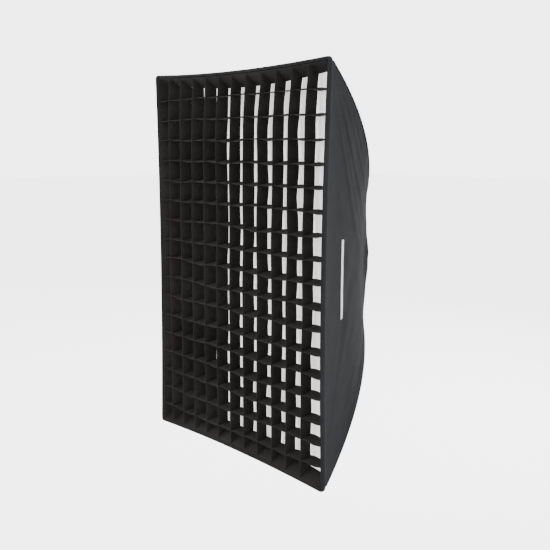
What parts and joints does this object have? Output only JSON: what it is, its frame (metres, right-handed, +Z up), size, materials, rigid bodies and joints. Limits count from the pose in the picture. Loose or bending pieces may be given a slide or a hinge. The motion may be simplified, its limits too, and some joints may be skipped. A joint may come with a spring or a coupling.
{
  "type": "rectangular softbox",
  "caption": "Black rectangular softbox with arched folding ribs, white diffuser, fabric eggcrate grid and a rotating bayonet speed ring.",
  "frame": {"origin": "centre of the speed ring's rear mounting face, on the bayonet axis", "axes": "+Y towards the flash head along the bayonet axis, the lit front faces -Y, +Z up along the long side"},
  "size_m": [0.6, 0.391, 0.9],
  "materials": {
    "shell_cloth": "matte black coated weave, silver inside",
    "grid_cloth": "matte black tape weave",
    "white_cloth": "matte translucent white nylon",
    "binding": "black woven tape",
    "elastic": "black ribbed elastic",
    "hook_tape": "black hook-and-loop tape",
    "cast_black": "satin black powder coat",
    "zinc_steel": "zinc plated",
    "rib_steel": "drawn spring steel",
    "black_plastic": "moulded, fine texture",
    "button_plastic": "moulded"
  },
  "bodies": {
    "mount": {"speed_ring": "cast_black", "bayonet_lugs": "zinc_steel", "retaining_ring": "zinc_steel", "retaining_screws": "zinc_steel"},
    "box": {"rib_crown": "cast_black", "rib_hinge_pins": "zinc_steel", "shell_panel_right": "shell_cloth", "shell_panel_top": "shell_cloth", "shell_panel_left": "shell_cloth", "shell_panel_bottom": "shell_cloth", "rear_collar": "elastic", "front_hem": "binding", "hook_tape": "hook_tape", "grid_border": "grid_cloth", "grid_columns": "grid_cloth", "grid_rows": "grid_cloth", "front_diffuser": "white_cloth", "diffuser_hem": "binding", "inner_baffle": "white_cloth", "baffle_hem": "binding", "baffle_straps": "elastic", "corner_pockets": "binding"},
    "lock": {"lock_stem": "zinc_steel", "lock_knob": "black_plastic"},
    "rib_1": {"rib_rod_1": "rib_steel", "rib_knuckle_1": "black_plastic", "rib_tip_1": "black_plastic"},
    "rib_2": {"rib_rod_2": "rib_steel", "rib_knuckle_2": "black_plastic", "rib_tip_2": "black_plastic"},
    "rib_3": {"rib_rod_3": "rib_steel", "rib_knuckle_3": "black_plastic", "rib_tip_3": "black_plastic"},
    "rib_4": {"rib_rod_4": "rib_steel", "rib_knuckle_4": "black_plastic", "rib_tip_4": "black_plastic"},
    "button_1": {"release_button_1": "button_plastic"},
    "button_2": {"release_button_2": "button_plastic"},
    "button_3": {"release_button_3": "button_plastic"},
    "button_4": {"release_button_4": "button_plastic"}
  },
  "joints": [
    {"name": "box_turn", "type": "hinge", "parent": "mount", "child": "box", "pos_m": [0, 0, 0], "axis": [0, 1, 0], "continuous": true},
    {"name": "lock_turn", "type": "hinge", "parent": "mount", "child": "lock", "pos_m": [-0.09, -0.011, 0], "axis": [-1, 0, 0], "range_deg": [0, 540]},
    {"name": "rib_fold_1", "type": "hinge", "parent": "box", "child": "rib_1", "pos_m": [0.04438, -0.034, 0.06656], "axis": [0.8321, 0, -0.5547], "range_deg": [0, 52], "deforming": ["shell_panel_right", "shell_panel_top", "shell_panel_left", "shell_panel_bottom", "front_hem", "hook_tape", "grid_border", "grid_columns", "grid_rows", "front_diffuser", "diffuser_hem", "inner_baffle", "baffle_hem", "baffle_straps", "corner_pockets"]},
    {"name": "rib_fold_2", "type": "hinge", "parent": "box", "child": "rib_2", "pos_m": [-0.04438, -0.034, 0.06656], "axis": [0.8321, 0, 0.5547], "range_deg": [0, 52]},
    {"name": "rib_fold_3", "type": "hinge", "parent": "box", "child": "rib_3", "pos_m": [-0.04438, -0.034, -0.06656], "axis": [-0.8321, 0, 0.5547], "range_deg": [0, 52]},
    {"name": "rib_fold_4", "type": "hinge", "parent": "box", "child": "rib_4", "pos_m": [0.04438, -0.034, -0.06656], "axis": [-0.8321, 0, -0.5547], "range_deg": [0, 52]},
    {"name": "button_press_1", "type": "slide", "parent": "box", "child": "button_1", "axis": [0, 1, 0], "range_m": [0, 0.003], "stiffness_N_per_m": 500},
    {"name": "button_press_2", "type": "slide", "parent": "box", "child": "button_2", "axis": [0, 1, 0], "range_m": [0, 0.003], "stiffness_N_per_m": 500},
    {"name": "button_press_3", "type": "slide", "parent": "box", "child": "button_3", "axis": [0, 1, 0], "range_m": [0, 0.003], "stiffness_N_per_m": 500},
    {"name": "button_press_4", "type": "slide", "parent": "box", "child": "button_4", "axis": [0, 1, 0], "range_m": [0, 0.003], "stiffness_N_per_m": 500}
  ],
  "couplings": [
    {"joint": "rib_fold_2", "follows": "rib_fold_1", "ratio": 1},
    {"joint": "rib_fold_3", "follows": "rib_fold_1", "ratio": 1},
    {"joint": "rib_fold_4", "follows": "rib_fold_1", "ratio": 1}
  ]
}
